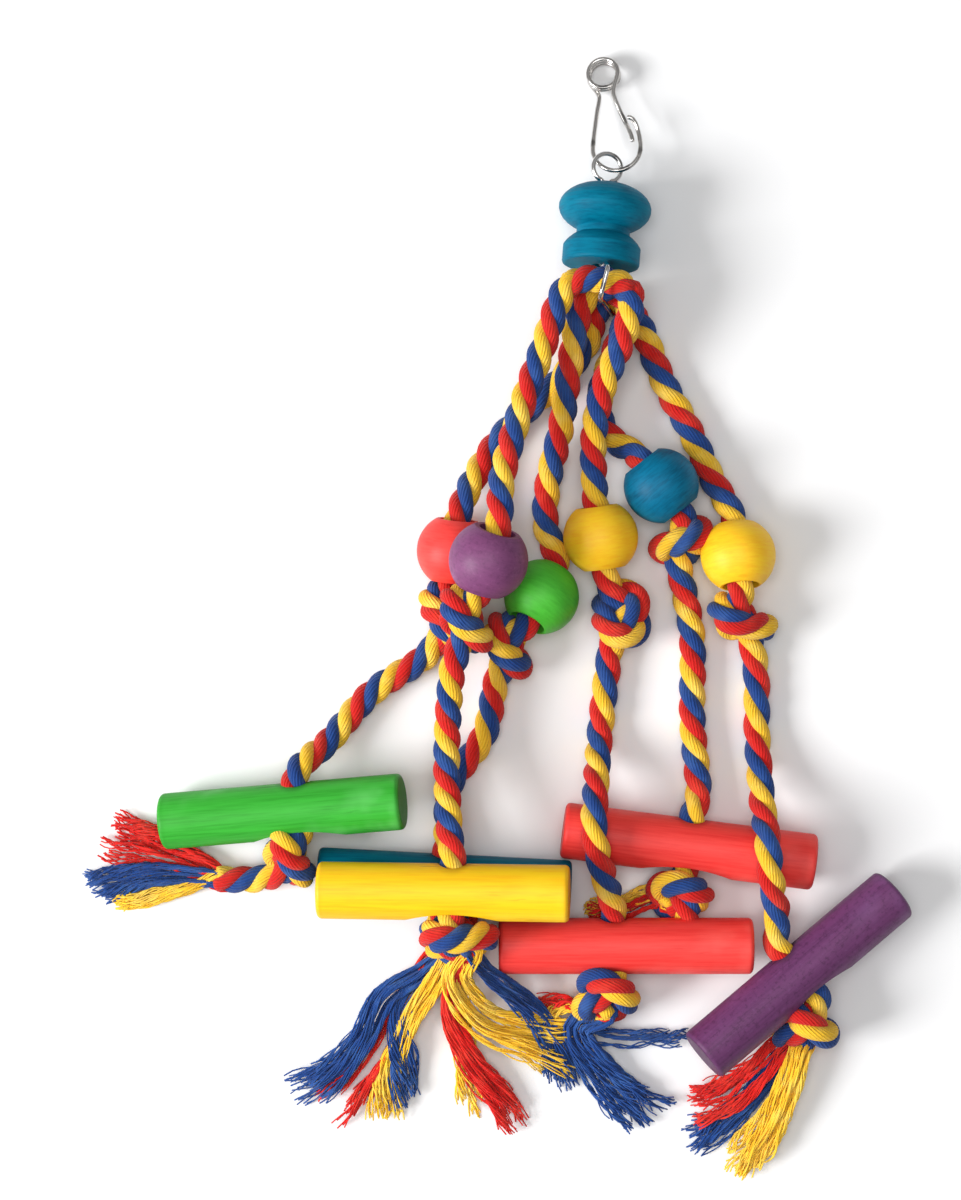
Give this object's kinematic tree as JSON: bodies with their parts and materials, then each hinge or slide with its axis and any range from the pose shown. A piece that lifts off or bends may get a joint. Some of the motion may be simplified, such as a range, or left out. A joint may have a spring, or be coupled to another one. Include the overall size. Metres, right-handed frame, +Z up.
{
  "type": "hanging bird toy",
  "caption": "Hanging bird toy: knotted three-strand ropes folded through a wire loop under a turned wooden cap, strung with round beads and dowel blocks, with a snap hook on top.",
  "frame": {"origin": "on the table under the middle of the toy's bounding box, measured without the ropes", "axes": "+Y along the toy from its blocks to its hook, +X to the right as seen from above, +Z up from the table that the toy lies on"},
  "size_m": [0.2812, 0.3811, 0.0495],
  "materials": {
    "hook_wire": "nickel-plated spring wire",
    "loop_wire": "bright plated wire",
    "teal_wood": "dyed and waxed",
    "red_wood": "dyed and waxed",
    "green_wood": "dyed and waxed",
    "yellow_wood": "dyed and waxed",
    "purple_wood": "dyed and waxed",
    "rope": "soft twisted cotton in red, yellow and blue"
  },
  "bodies": {
    "toy": {"hanging_wire": "loop_wire", "cap": "teal_wood", "block_green": "green_wood", "block_yellow": "yellow_wood", "block_teal": "teal_wood", "block_upper_red": "red_wood", "block_lower_red": "red_wood", "block_purple": "purple_wood", "rope_front": "rope", "rope_middle": "rope", "rope_back": "rope"},
    "hook": {"snap_hook": "hook_wire"},
    "red_ball": {"bead_red": "red_wood"},
    "purple_ball": {"bead_purple": "purple_wood"},
    "green_ball": {"bead_green": "green_wood"},
    "left_yellow_ball": {"bead_yellow_left": "yellow_wood"},
    "teal_ball": {"bead_teal": "teal_wood"},
    "right_yellow_ball": {"bead_yellow_right": "yellow_wood"}
  },
  "joints": [
    {"name": "hook_swing", "type": "hinge", "parent": "toy", "child": "hook", "pos_m": [0.02485, 0.13515, 0.0126], "axis": [0.8453, -0.5344, 0], "range_deg": [0, 40]},
    {"name": "red_spin", "type": "hinge", "parent": "toy", "child": "red_ball", "pos_m": [-0.0275, 0.005, 0.0127], "axis": [-0.104, -0.9891, -0.1045], "continuous": true},
    {"name": "purple_spin", "type": "hinge", "parent": "toy", "child": "purple_ball", "pos_m": [-0.016, 0.0015, 0.03632], "axis": [-0.2837, -0.9279, -0.2419], "continuous": true},
    {"name": "green_spin", "type": "hinge", "parent": "toy", "child": "green_ball", "pos_m": [0.002, -0.0105, 0.0127], "axis": [-0.4556, -0.8219, 0.342], "continuous": true},
    {"name": "left_yellow_spin", "type": "hinge", "parent": "toy", "child": "left_yellow_ball", "pos_m": [0.022, 0.0095, 0.0127], "axis": [0.139, -0.9889, -0.0523], "continuous": true},
    {"name": "teal_spin", "type": "hinge", "parent": "toy", "child": "teal_ball", "pos_m": [0.0425, 0.027, 0.0127], "axis": [0.6157, -0.788, 0], "continuous": true},
    {"name": "right_yellow_spin", "type": "hinge", "parent": "toy", "child": "right_yellow_ball", "pos_m": [0.0685, 0.0035, 0.0127], "axis": [0.0677, -0.9679, 0.2419], "continuous": true}
  ]
}
